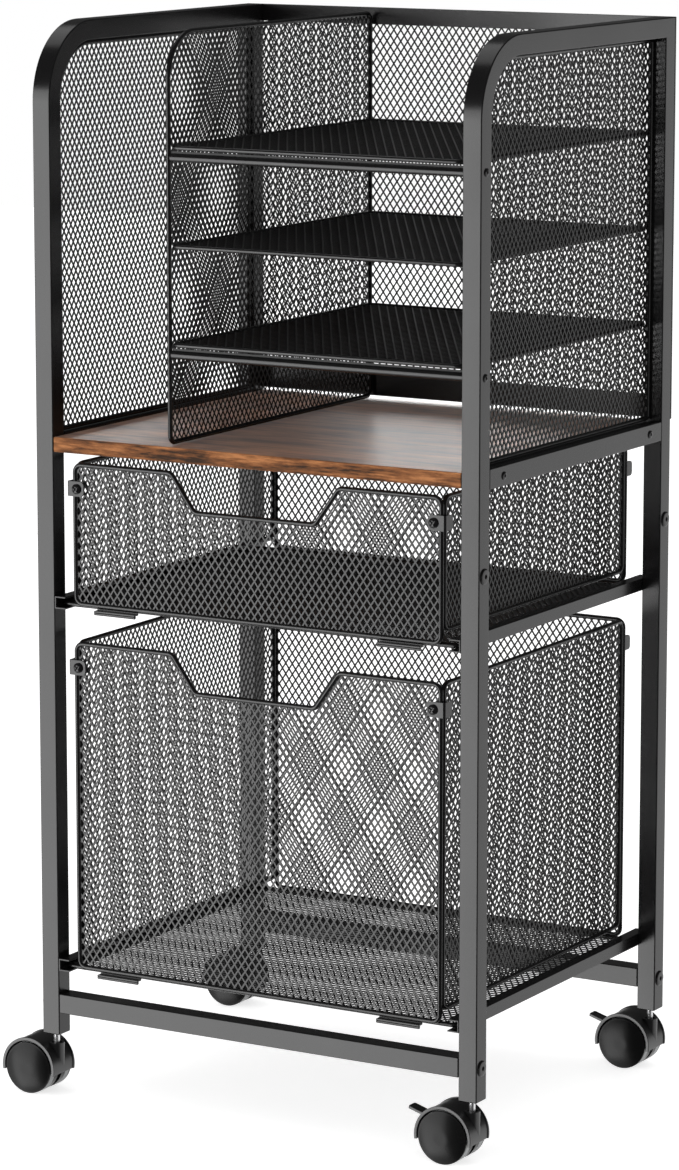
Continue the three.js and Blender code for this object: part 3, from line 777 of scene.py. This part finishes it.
class CART_OT_bay(Operator):
    """Builds the mesh panels, divider, letter trays and bars of the upper bay"""

    bl_idname = "cart.bay"
    bl_label = "Upper bay"

    def execute(self, context):
        mesh = context.scene.cart_mesh

        low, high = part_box("left_mesh_panel")
        bend = context.scene.cart_frame.bend_radius - 0.016
        radii = [mesh.wire, mesh.wire, mesh.wire, bend]
        left = wired_panel("left_mesh_panel_wired", "YZ", (low.x + high.x) / 2, low.yz, high.yz, radii)
        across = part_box("right_mesh_panel")[0].x - low.x
        right = copy_of(left, "right_mesh_panel_wired", (across, 0, 0))
        settle_piece(left, "cart", "powder_coat", "left_mesh_panel")
        settle_piece(right, "cart", "powder_coat", "right_mesh_panel")

        low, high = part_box("divider_panel")
        corner = mesh.panel_corner
        radii = [corner, corner, corner, mesh.divider_round]
        middle = (low.x + high.x) / 2
        divider = wired_panel("divider_panel_wired", "YZ", middle, low.yz, high.yz, radii, mesh.thin_sheet)
        settle_piece(divider, "cart", "powder_coat", "divider_panel")

        low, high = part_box("upper_shelf")
        tray = wired_panel(
            "upper_tray",
            "XY",
            (low.z + high.z) / 2,
            low.xy,
            high.xy,
            [corner] * 4,
            mesh.tray_sheet,
            (mesh.tray_pitch_wide, mesh.tray_pitch_tall),
            "tray",
        )
        trays = {"upper": tray}
        for level in SHELVES[1:]:
            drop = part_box(f"{level}_shelf")[0].z - low.z
            trays[level] = copy_of(tray, f"{level}_tray", (0, 0, drop))
        for level, shelf in trays.items():
            settle_piece(shelf, "cart", "powder_coat", f"{level}_shelf")

        for level in ("upper", "lower"):
            low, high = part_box(f"{level}_tray_bar")
            centre = (low + high) / 2
            bar = drum(f"{level}_tray_rod", centre, "X", (high.z - low.z) / 2, low.x, high.x, 32)
            dress(ease(bar, 0.0005), "coat")
            lip_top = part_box(f"{level}_shelf")[0].z - 0.0009
            lip_low = (low.x, centre.y - 0.0005, high.z - 0.001)
            lip = block(f"{level}_tray_lip", lip_low, (high.x, centre.y + 0.0005, lip_top))
            bar = combine(bar.name, bar, dress(ease(lip, 0.0002), "tray"))
            settle_piece(bar, "cart", "powder_coat", f"{level}_tray_bar")

        self.back(mesh)
        return {"FINISHED"}

    def back(self, mesh):
        """The back panel: a flat border with the mesh behind its opening."""
        low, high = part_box("back_panel")
        plane_low = Vector((low.x, low.z))
        plane_high = Vector((high.x, high.z))
        border = flat_face("back_panel_border", plane_low, plane_high)
        edit(border)
        bpy.ops.mesh.inset(thickness=mesh.back_border, use_even_offset=True)
        bpy.ops.mesh.delete(type="FACE")
        foot = plane_low.y + mesh.back_border
        select("EDGE", lambda co, way: abs(way.x) > FACING and abs(co.y - foot) < NEAR)
        bpy.ops.transform.translate(value=(0, mesh.back_foot - mesh.back_border, 0))
        done()
        modify(border, "SOLIDIFY", thickness=high.y - low.y, offset=0)
        dress(ease(border, 0.0004), "coat")
        seam = Vector((mesh.back_border, mesh.back_border)) * 0.6
        plane_low, plane_high = plane_low + seam, plane_high - seam
        cuts = trims(plane_low, plane_high, [])
        sheet = strand_sheet("back_panel_strands", plane_low, plane_high, cuts, None, mesh.thin_sheet)
        panel = lay(combine("back_panel_bordered", border, sheet), "XZ", (low.y + high.y) / 2)
        settle_piece(panel, "cart", "powder_coat", "back_panel")


def corner_clip(node, name, sheet, rounding, fold):
    """A clip folded round the drawer's right front corner, its free ends rounded."""
    low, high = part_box(node)
    leg = block(name, low, (high.x, low.y + sheet, high.z))
    round_along(leg, lambda co, way: abs(way.y) > FACING and co.x < low.x + NEAR, rounding)
    cheek_low = (high.x - sheet, low.y, low.z)
    cheek = block(f"{name}_cheek", cheek_low, high)
    round_along(cheek, lambda co, way: abs(way.x) > FACING and co.y > high.y - NEAR, rounding)
    merge(leg, cheek)

    def folded(co, way):
        return abs(way.z) > FACING and co.x > high.x - NEAR and co.y < low.y + NEAR

    round_along(leg, folded, fold, 8)
    return dress(ease(leg), "coat")


def cross_screw(name, radius, height):
    """A pan-head screw at the origin that faces -Y, with a cross recess."""
    head = drum(name, (0, 0, 0), "Y", radius, -height, 0, 32)
    edit(head)
    select("FACE", lambda co, normal: normal.y < -FACING)
    for share, rise in ((0.12, 0.0006), (0.18, 0.0005), (0.22, 0.0003), (0.2, 0.0001)):
        bpy.ops.mesh.inset(thickness=radius * share, depth=rise)
    done()
    wide, reach = radius * 0.15, radius * 0.62
    cutter = block(f"{name}_slot", (-reach, -0.01, -wide), (reach, -height, wide))
    merge(cutter, block(f"{name}_slot_across", (-wide, -0.01, -reach), (wide, -height, reach)))
    cutter.matrix_world = Matrix.Rotation(math.radians(40), 4, "Y")
    merge(head, settle(cutter), "DIFFERENCE")
    return dress(head, "bolt", 30)


class CART_OT_drawers(Operator):
    """Builds both drawers with their clips, tabs and screws"""

    bl_idname = "cart.drawers"
    bl_label = "Drawers"

    def execute(self, context):
        drawer = context.scene.cart_drawer
        mesh = context.scene.cart_mesh
        corners = [mesh.panel_corner] * 4
        screw = cross_screw("clip_screw_model", 0.0041, 0.001)
        floor = None
        for level in DRAWERS:
            body = f"{level}_drawer"
            made = {}
            low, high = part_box(f"{body}_front")
            middle = (low.x + high.x) / 2
            front_low, front_high = (low.x, low.z), (high.x, high.z)
            made["front"] = dipped_panel(
                f"{body}_front_wired", "XZ", (low.y + high.y) / 2, front_low, front_high, middle
            )
            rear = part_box(f"{body}_back")[0].y + mesh.wire / 2
            back = wired_panel(f"{body}_back_wired", "XZ", rear, front_low, front_high, corners)
            made["back"] = self.stop_tabs(back, body, drawer)

            side_low, side_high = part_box(f"{body}_left")
            level_x = (side_low.x + side_high.x) / 2
            made["left"] = wired_panel(
                f"{body}_left_wired", "YZ", level_x, side_low.yz, side_high.yz, corners
            )
            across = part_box(f"{body}_right")[0].x - side_low.x
            made["right"] = copy_of(made["left"], f"{body}_right_wired", (across, 0, 0))

            low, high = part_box(f"{body}_floor")
            if floor is None:
                rim_low, rim_high = (low.x, side_low.y), (high.x, side_high.y)
                rim_z = high.z - mesh.wire / 2
                look = {"sheet": mesh.floor_sheet, "finish": "tray"}
                floor = wired_panel(
                    f"{body}_floor_wired", "XY", rim_z, rim_low, rim_high, corners, **look
                )
                floor = self.hook_tabs(floor, body, drawer, mesh)
                floor_top = high.z
                made["floor"] = floor
            else:
                made["floor"] = copy_of(floor, f"{body}_floor_wired", (0, 0, high.z - floor_top))

            right = corner_clip(
                f"{body}_clip_right",
                f"{body}_right_corner_clip",
                drawer.clip_sheet,
                drawer.clip_round,
                drawer.clip_fold,
            )
            left = copy_of(right, f"{body}_left_corner_clip", (2 * middle, 0, 0), mirror=True)
            made["clip_right"], made["clip_left"] = right, dress(left, "coat")
            for part, obj in made.items():
                settle_piece(obj, body, "powder_coat", f"{body}_{part}")
            for side in SIDES:
                low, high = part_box(f"{body}_clip_{side}")
                inward = 0.0052 if side == "right" else high.x - low.x - 0.0064
                place = (low.x + inward, low.y + 0.0002, (low.z + high.z) / 2)
                head = copy_of(screw, f"{body}_{side}_clip_screw", place)
                settle_piece(head, body, "powder_coat")
        bpy.data.objects.remove(screw, do_unlink=True)
        return {"FINISHED"}

    def stop_tabs(self, back, body, drawer):
        """Adds the flat tabs that stand back from the drawer's rear corners."""
        low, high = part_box(f"{body}_back")
        clip_low, clip_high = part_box(f"{body}_clip_left")
        tabs = []
        for start in (low.x, high.x - drawer.stop_tab):
            tab_low = (start, low.y + 0.002, clip_low.z)
            tab = block(f"{body}_stop_tab", tab_low, (start + drawer.stop_tab, high.y, clip_high.z))
            round_along(tab, lambda co, way: abs(way.x) > FACING and co.y > high.y - NEAR, 0.003)
            tabs.append(dress(ease(tab), "coat"))
        return combine(back.name, back, *tabs)

    def hook_tabs(self, floor, body, drawer, mesh):
        """Adds the hooked tabs with a rolled lip under the front edge of the floor."""
        low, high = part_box(f"{body}_floor")
        front_low, front_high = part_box(f"{body}_front")
        tabs = []
        for side, edge in ((1, front_low.x), (-1, front_high.x)):
            middle = edge + side * drawer.hook_inset
            start, end = middle - drawer.hook_width / 2, middle + drawer.hook_width / 2
            rear = front_high.y + 0.0003 + mesh.wire / 2
            roll = 0.0014
            under, sheet = low.z + 0.0024, 0.0012
            plate = block(f"{body}_hook_tab", (start, low.y, under), (end, rear, low.z + 0.0036))
            riser_low, riser_high = (start, rear - sheet, under), (end, rear, high.z - 0.002)
            riser = block(f"{body}_hook_riser", riser_low, riser_high)
            lip = drum(f"{body}_hook_lip", (0, low.y + roll, low.z + roll), "X", roll, start, end, 16)
            web = block(
                f"{body}_hook_web",
                (start, low.y + roll * 0.4, low.z + roll),
                (end, low.y + roll * 1.6, low.z + 0.003),
            )
            merge(plate, riser)
            for piece in (plate, lip, web):
                tabs.append(dress(ease(piece, 0.0002), "coat"))
        return combine(floor.name, floor, *tabs)


# Round the axle, from +X up to the brake's slot in the hood.
BRAKE_ANGLE = math.radians(149)
HUB_RADIUS = 0.006
AXLE_BORE = 0.0027
SEAT_RADIUS = 0.0044
SEAT_DEPTH = 0.0095
WHEEL_BORE = 0.0028
DOME_RISE = 0.0034
DOME_RINGS = (0.97, 0.9, 0.8, 0.68, 0.54, 0.38, 0.2)
PIN_RADIUS = 0.0025


def caster_hood(name, axle, stem, sizes, radius, width, braked):
    """Half-round hood with a bead on each rim, the web between the wheels and the stem's boss."""
    inner = radius - sizes.hood_wall
    outer = radius - sizes.hood_bead
    flat = width / 2 - sizes.bead_width
    dip = math.radians(10)
    deselect()
    bpy.ops.mesh.primitive_plane_add(size=1)
    shell = added(name)
    shell.scale = (outer - inner, width, 1)
    shell.location = (axle.x + (inner + outer) / 2, axle.y, axle.z)
    settle(shell)
    edit(shell)
    for side in (-1, 1):
        cut((0, axle.y + side * flat, 0), (0, 1, 0))
    select("EDGE", lambda co, way: abs(co.x - axle.x - outer) < NEAR and abs(co.y - axle.y) > flat)
    bpy.ops.mesh.extrude_region_move(TRANSFORM_OT_translate={"value": (sizes.hood_bead, 0, 0)})
    done()
    shell.matrix_world = Matrix.Translation(axle) @ Matrix.Rotation(dip, 4, "Y") @ Matrix.Translation(-axle)
    settle(shell)
    edit(shell)
    bpy.ops.mesh.spin(steps=48, angle=math.pi + 2 * dip, center=axle, axis=(0, 1, 0))
    done()
    face_outwards(shell)
    if braked:
        cutter = block(f"{name}_slot", (inner - 0.001, -0.00575, -0.0043), (radius + 0.002, 0.00575, 0.0043))
        turn = Matrix.Rotation(-BRAKE_ANGLE, 4, "Y")
        cutter.matrix_world = Matrix.Translation(axle) @ turn
        merge(shell, settle(cutter), "DIFFERENCE")
    ease(shell)

    web = drum(f"{name}_web", axle, "Y", inner + 0.0008, axle.y - sizes.web / 2, axle.y + sizes.web / 2, 64)
    edit(web)
    foot = axle.z - radius * math.sin(dip)
    cut((0, 0, foot), (0, 0, -1), clear_outer=True, use_fill=True)
    done()
    hub = drum(f"{name}_hub", axle, "Y", HUB_RADIUS, axle.y - sizes.web / 2, axle.y + sizes.web / 2, 32)
    merge(web, hub)
    bore = drum(f"{name}_axle_bore", axle, "Y", AXLE_BORE, axle.y - 0.01, axle.y + 0.01, 32)
    merge(web, bore, "DIFFERENCE")
    top = axle.z + radius
    boss = drum(f"{name}_boss", stem, "Z", sizes.boss_radius, axle.z, top - sizes.boss_drop, 48)
    cavity = drum(f"{name}_cavity", axle, "Y", inner + 0.001, axle.y - width, axle.y + width, 64)
    merge(boss, cavity, "DIFFERENCE")
    seat = drum(f"{name}_stem_seat", stem, "Z", SEAT_RADIUS, top - SEAT_DEPTH, top + 0.01, 32)
    merge(boss, seat, "DIFFERENCE")
    ease(boss, 0.0005)
    return combine(name, shell, web, boss)


def domed_wheel(name, axle, radius, inner, outer, way):
    """A wheel whose outer face is a low dome inside a fine rim; way is the side it faces."""
    low, high = sorted((axle.y + way * inner, axle.y + way * outer))
    wheel = drum(name, axle, "Y", radius, low, high, 72)
    edit(wheel)
    select("FACE", lambda co, normal: normal.y * way > FACING)
    bpy.ops.mesh.inset(thickness=0.0004, depth=0.0002)
    bpy.ops.mesh.inset(thickness=0.0006, depth=0.0001)
    crown = radius - 0.001
    rings = [crown * share for share in DOME_RINGS]
    before = crown
    for ring in rings:
        climb = DOME_RISE * ((before / crown) ** 2 - (ring / crown) ** 2)
        bpy.ops.mesh.inset(thickness=before - ring, depth=climb)
        before = ring
    done()
    bore_low, bore_high = sorted((axle.y, axle.y + way * (outer - 0.0037)))
    bore = drum(f"{name}_bore", axle, "Y", WHEEL_BORE, bore_low, bore_high, 32)
    return merge(wheel, bore, "DIFFERENCE")


def tread_ring(name, axle, radius, low, high):
    """A pale ring round the wheel."""
    ring = drum(name, axle, "Y", radius, low, high, 72)
    edit(ring)
    select("FACE", lambda co, normal: abs(normal.y) > FACING)
    bpy.ops.mesh.delete(type="FACE")
    done()
    modify(ring, "SOLIDIFY", thickness=0.0012, offset=-1)
    return ease(ring)


def brake_paddle(name, axle, radius):
    """The foot paddle with its recessed pad, and the shoe in the hood's slot."""
    outward = Vector((math.cos(BRAKE_ANGLE), 0, math.sin(BRAKE_ANGLE)))
    pivot = axle + outward * (radius - 0.001)
    width, long, sheet = 0.0105, 0.016, 0.002
    paddle = block(name, (-long, -width / 2, -sheet / 2), (0, width / 2, sheet / 2))
    edit(paddle)
    select("EDGE", lambda co, way: abs(way.z) > FACING and co.x < -long + NEAR)
    bpy.ops.mesh.bevel(offset=0.0018, segments=4, affect="EDGES")
    select("FACE", lambda co, normal: normal.z > FACING)
    bpy.ops.mesh.inset(thickness=0.0014)
    bpy.ops.mesh.inset(thickness=0.0003, depth=-0.0004)
    done()
    paddle.matrix_world = Matrix.Translation(pivot) @ Matrix.Rotation(math.radians(17), 4, "Y")
    settle(paddle)
    shoe = block(f"{name}_shoe", (radius - 0.0025, -width / 2, -0.0027), (radius - 0.0002, width / 2, 0.0027))
    shoe.matrix_world = Matrix.Translation(axle) @ Matrix.Rotation(-BRAKE_ANGLE, 4, "Y")
    merge(paddle, settle(shoe))
    return ease(paddle)


class CART_OT_casters(Operator):
    """Builds the hoods, wheels, treads, stems and brake levers of the casters"""

    bl_idname = "cart.casters"
    bl_label = "Casters"

    def execute(self, context):
        sizes = context.scene.cart_caster
        first = {}
        for caster in CASTERS:
            low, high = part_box(f"{caster}_axle")
            axle = (low + high) / 2
            low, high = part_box(f"{caster}_stem")
            stem = Vector(((low.x + high.x) / 2, axle.y, 0))
            hood_low, hood_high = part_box(f"{caster}_hood")
            wheel_low, wheel_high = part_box(f"{caster}_wheel_fore")
            radius = hood_high.z - axle.z
            width = hood_high.y - hood_low.y
            kind = "braked" if caster in BRAKED else "free"
            if kind in first:
                start, pieces = first[kind]
                shift = axle - start
                made = {part: copy_of(obj, f"{caster}_{part}", shift) for part, obj in pieces.items()}
            else:
                wheel = (wheel_high.z - wheel_low.z) / 2
                made = self.model(caster, axle, stem, sizes, radius, width, wheel)
                first[kind] = (axle, made)
            self.place(caster, made)
            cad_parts[f"{caster}_axle"].data.materials.clear()
            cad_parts[f"{caster}_axle"].data.materials.append(Finishes.get("steel"))
        return {"FINISHED"}

    def model(self, caster, axle, stem, sizes, radius, width, wheel):
        """Models one caster's pieces."""
        braked = caster in BRAKED
        inner, outer = sizes.web / 2 + sizes.web_gap, width / 2
        made = {"hood_shell": caster_hood(f"{caster}_hood_shell", axle, stem, sizes, radius, width, braked)}
        for part, way in (("fore", -1), ("aft", 1)):
            disc = domed_wheel(f"{caster}_{part}_disc", axle, wheel - 0.0001, inner, outer, way)
            tread = sorted(
                axle.y + way * (outer - sizes.tread_inset - step * sizes.tread_width) for step in (0, 1)
            )
            made[f"{part}_disc"] = disc
            made[f"{part}_tread"] = tread_ring(f"{caster}_{part}_tread", axle, wheel, *tread)
        made["stem_pin"] = self.stem_pin(caster)
        if braked:
            made["foot_lever"] = brake_paddle(f"{caster}_foot_lever", axle, radius)
        return made

    def stem_pin(self, caster):
        """The bright pin between the hood and the post."""
        low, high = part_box(f"{caster}_stem")
        middle = (low + high) / 2
        pin = drum(f"{caster}_stem_pin", middle, "Z", PIN_RADIUS, low.z, high.z, 32)
        return ease(pin)

    def place(self, caster, made):
        """Gives one caster's pieces their bodies, finishes and nodes."""
        body = f"{caster}_caster"
        settle_piece(dress(made["hood_shell"], "hood"), body, "caster_plastic", f"{caster}_hood")
        settle_piece(dress(made["stem_pin"], "steel"), "cart", "bright_steel", f"{caster}_stem")
        for part in ("fore", "aft"):
            node = f"{caster}_wheel_{part}"
            settle_piece(dress(made[f"{part}_disc"], "disc", 25), node, "wheel_plastic", node)
            settle_piece(dress(made[f"{part}_tread"], "tread"), node, "wheel_plastic")
        if "foot_lever" in made:
            lever = dress(made["foot_lever"], "hood")
            settle_piece(lever, f"{caster}_brake", "caster_plastic", f"{caster}_brake_lever")


BOLT_DOME = ((0.10, 0.42), (0.08, 0.10), (0.24, 0.06), (0.2, 0.02))
SCREW_DOME = ((0.10, 0.25), (0.16, 0.18), (0.2, 0.12), (0.2, 0.05))


def domed_bolt(name, radius, height, socket, dome):
    """A low bolt head at the origin that faces +X, with a hexagon socket.

    The dome's steps are shares of the radius inwards and of the height upwards.
    """
    head = drum(name, (0, 0, 0), "X", radius, 0, height * 0.4, 40)
    edit(head)
    select("FACE", lambda co, normal: normal.x > FACING)
    for share, climb in dome:
        bpy.ops.mesh.inset(thickness=radius * share, depth=height * climb)
    done()
    merge(head, drum(f"{name}_socket", (0, 0, 0), "X", socket, height * 0.35, height * 2, 6), "DIFFERENCE")
    return head


class CART_OT_fasteners(Operator):
    """Builds the bolts and screws on the outer faces of the frame"""

    bl_idname = "cart.fasteners"
    bl_label = "Fasteners"

    def execute(self, context):
        low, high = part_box("right_hoop")
        left_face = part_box("left_hoop")[0].x
        bolt = domed_bolt("post_bolt_model", 0.0062, 0.0015, 0.002, BOLT_DOME)
        screw = domed_bolt("rail_screw_model", 0.0032, 0.0012, 0.0014, SCREW_DOME)
        front, rear = low.y + 0.0078, high.y - 0.0078
        spots = []
        for label, depth in (("front", front), ("rear", rear)):
            for spot, rise in (("upper", 0.4105), ("lower", 0.0265)):
                spots.append((bolt, f"{label}_{spot}_bolt", depth, low.z + rise))
        for spot, rise in (("upper", 0.7153), ("lower", 0.5613)):
            spots.append((screw, f"tray_{spot}_screw", front, low.z + rise))
        for label, depth in (("front", 0.0383), ("rear", 0.2862)):
            spots.append((screw, f"board_{label}_screw", low.y + depth, low.z + 0.4835))
        for model, name, depth, rise in spots:
            right = copy_of(model, f"right_{name}", (high.x, depth, rise))
            left = copy_of(model, f"left_{name}", (left_face, depth, rise), turn=math.pi)
            for head in (left, right):
                settle_piece(dress(head, "bolt"), "cart", "powder_coat")
        for model in (bolt, screw):
            bpy.data.objects.remove(model, do_unlink=True)
        return {"FINISHED"}


class CART_OT_stage(Operator):
    """Sets the pale floor, the soft lamps, the white surround and the camera"""

    bl_idname = "cart.stage"
    bl_label = "Stage"

    CAMERA_PLACE = (1.84277, -3.16074, 1.07168)
    CAMERA_TURN = (math.radians(79.76), 0, math.radians(30.22))
    CAMERA_LENS = 141.64
    FLOOR_SIZE = 12
    AMBIENT = 0.65
    DARK_SKY = 0.06
    # Name, place, aim, size, power and the pieces that a lamp lights alone.
    LAMPS = (
        ("key", (-2.6, -3.3, -0.84), (0, 0, -0.84), (3.06, 4.96), 164, ()),
        ("top", (-1.0, 0.3, 2.6), (0, 0, 0.5), (1.4, 1.4), 6, ()),
        ("right_sheen", (-0.49, 1.1, 0.735), (0.1, 0, 0.6), (0.26, 0.24), 1.15, BOARD_PIECES),
        ("left_sheen", (-0.98, 1.1, 0.735), (-0.15, 0, 0.6), (0.22, 0.24), 1.1, BOARD_PIECES),
        ("tray_sheen", (-0.49, 1.1, 0.88), (0.1, 0, 0.7), (0.26, 0.3), 0.22, TRAY_PIECES),
    )

    def execute(self, context):
        self.floor()
        self.lamps()
        self.surround(context)
        self.camera(context)
        context.scene.view_settings.view_transform = "Standard"
        return {"FINISHED"}

    def seen_directly(self, finish):
        """1 for rays that show the background itself, in sight, in gloss or through glass."""
        camera, glossy, through = finish.light_paths()
        return finish.maths("MINIMUM", camera + glossy + through, 1.0)

    def floor(self):
        """A pale floor that keeps the shadow and looks white in sight."""
        deselect()
        bpy.ops.mesh.primitive_plane_add(size=self.FLOOR_SIZE)
        ground = added("studio_floor")
        finish = new_finish("pale_floor")
        seen = self.seen_directly(finish)
        finish.surface(
            Base_Color=(0.8, 0.8, 0.8, 1),
            Roughness=0.9,
            Specular_IOR_Level=0.1,
            Emission_Color=finish.blend(seen, (0, 0, 0, 1), (0.71, 0.71, 0.71, 1)),
            Emission_Strength=1.0,
        )
        ground.data.materials.append(finish.owner)
        ground.visible_glossy = False

    def lamps(self):
        """Large soft lamps, and small ones for the sheen of the board and the trays alone."""
        for name, place, aim, size, power, pieces in self.LAMPS:
            deselect()
            bpy.ops.object.light_add(type="AREA", location=place)
            lamp = bpy.context.object
            lamp.name = f"{name}_lamp"
            lamp.data.shape = "RECTANGLE"
            lamp.data.size, lamp.data.size_y = size
            lamp.data.energy = power
            lamp.rotation_euler = (Vector(aim) - Vector(place)).to_track_quat("-Z", "Y").to_euler()
            if pieces:
                lit = bpy.data.collections.new(f"{name}_pieces")
                for piece in pieces:
                    lit.objects.link(bpy.data.objects[piece])
                lamp.light_linking.receiver_collection = lit
                lamp.light_linking.blocker_collection = lit

    def surround(self, context):
        """White in sight; gloss shows it white below the horizon, dark above and on the front right."""
        world = bpy.data.worlds.new("white_surround")
        context.scene.world = world
        finish = Finish(world)
        camera, glossy, through = finish.light_paths()
        way = finish.signal("ShaderNodeTexCoord", "Generated")
        parts = finish.node("ShaderNodeSeparateXYZ", None, {0: way})
        right, back, up = (Signal(finish, parts.outputs[axis]) for axis in "XYZ")

        def limited(value):
            return finish.signal("ShaderNodeClamp", 0, None, {0: value})

        dark_front = limited((right - back * 0.38) * 8) * limited(back * -4)
        low = limited(0.5 - up * 25) * (1 - dark_front)

        def white(strength):
            inputs = {"Color": (1, 1, 1, 1), "Strength": strength}
            return finish.signal("ShaderNodeBackground", 0, None, inputs)

        def mixed(factor, first, second):
            return finish.signal("ShaderNodeMixShader", 0, None, {0: factor, 1: first, 2: second})

        seen = white(1.0)
        gloss = mixed(low, white(self.DARK_SKY), seen)
        light = mixed(glossy, white(self.AMBIENT), gloss)
        finish.node("World Output", None, {"Surface": mixed(camera + through, light, seen)})

    def camera(self, context):
        """The photograph's viewing angle."""
        deselect()
        bpy.ops.object.camera_add(location=self.CAMERA_PLACE, rotation=self.CAMERA_TURN)
        camera = bpy.context.object
        camera.name = "photo_camera"
        camera.data.lens = self.CAMERA_LENS
        camera.data.clip_end = 100
        context.scene.camera = camera


class CART_PT_pieces(Panel):
    """Lists the steps that build the cart"""

    bl_idname = "CART_PT_pieces"
    bl_label = "Mobile file cart"
    bl_space_type = "VIEW_3D"
    bl_region_type = "UI"
    bl_category = "File Cart"

    def draw(self, context):
        for step in STEPS:
            self.layout.operator(step.bl_idname)


SIZES = {
    "cart_frame": FrameSizes,
    "cart_mesh": MeshSizes,
    "cart_drawer": DrawerSizes,
    "cart_caster": CasterSizes,
    "cart_colours": CartColours,
}
STEPS = (
    CART_OT_frame_tubes,
    CART_OT_runners,
    CART_OT_board,
    CART_OT_bay,
    CART_OT_drawers,
    CART_OT_casters,
    CART_OT_fasteners,
    CART_OT_stage,
)


def register():
    for group in SIZES.values():
        bpy.utils.register_class(group)
    for step in STEPS:
        bpy.utils.register_class(step)
    bpy.utils.register_class(CART_PT_pieces)
    for name, group in SIZES.items():
        setattr(bpy.types.Scene, name, PointerProperty(type=group))


def unregister():
    for name in SIZES:
        delattr(bpy.types.Scene, name)
    bpy.utils.unregister_class(CART_PT_pieces)
    for made in (*STEPS, *SIZES.values()):
        bpy.utils.unregister_class(made)


def main():
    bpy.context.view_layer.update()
    register()
    for step in STEPS:
        group, name = step.bl_idname.split(".")
        getattr(getattr(bpy.ops, group), name)()


if __name__ == "__main__":
    main()
